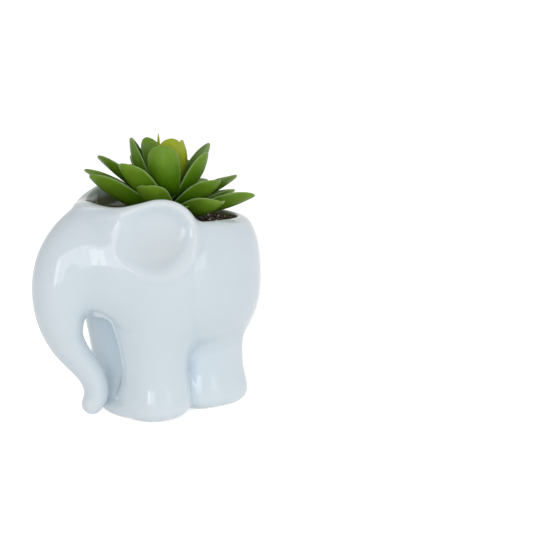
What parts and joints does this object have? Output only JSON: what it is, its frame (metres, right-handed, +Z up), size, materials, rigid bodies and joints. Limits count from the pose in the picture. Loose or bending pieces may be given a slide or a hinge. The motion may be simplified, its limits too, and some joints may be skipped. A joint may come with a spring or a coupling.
{
  "type": "elephant planter",
  "caption": "Small glazed ceramic planter shaped as a standing elephant with an open back, holding an artificial rosette succulent set in foam and grit.",
  "frame": {"origin": "middle of the whole outline, on the surface that the four feet stand on", "axes": "+Z up, -Y is the way the elephant faces, +X is the elephant's left side"},
  "size_m": [0.0739, 0.1134, 0.1278],
  "materials": {
    "ceramic_glaze": "glossy pale bluish white glaze on ceramic",
    "dark_foam": "dull dark green foam",
    "brown_grit": "rough brown glued grit with white specks",
    "stem_green": "satin moulded plastic",
    "leaf_green": "satin soft moulded plastic, mid green",
    "leaf_green_light": "satin soft moulded plastic, lighter green",
    "bud_green": "satin soft moulded plastic, yellow green"
  },
  "bodies": {
    "root": {"elephant_pot": "ceramic_glaze", "foam_plug": "dark_foam", "grit_layer": "brown_grit", "plant_stem": "stem_green", "leaf_whorl_outer": "leaf_green", "leaf_whorl_middle": "leaf_green", "leaf_whorl_inner": "leaf_green_light", "leaf_bud": "bud_green"}
  },
  "joints": []
}
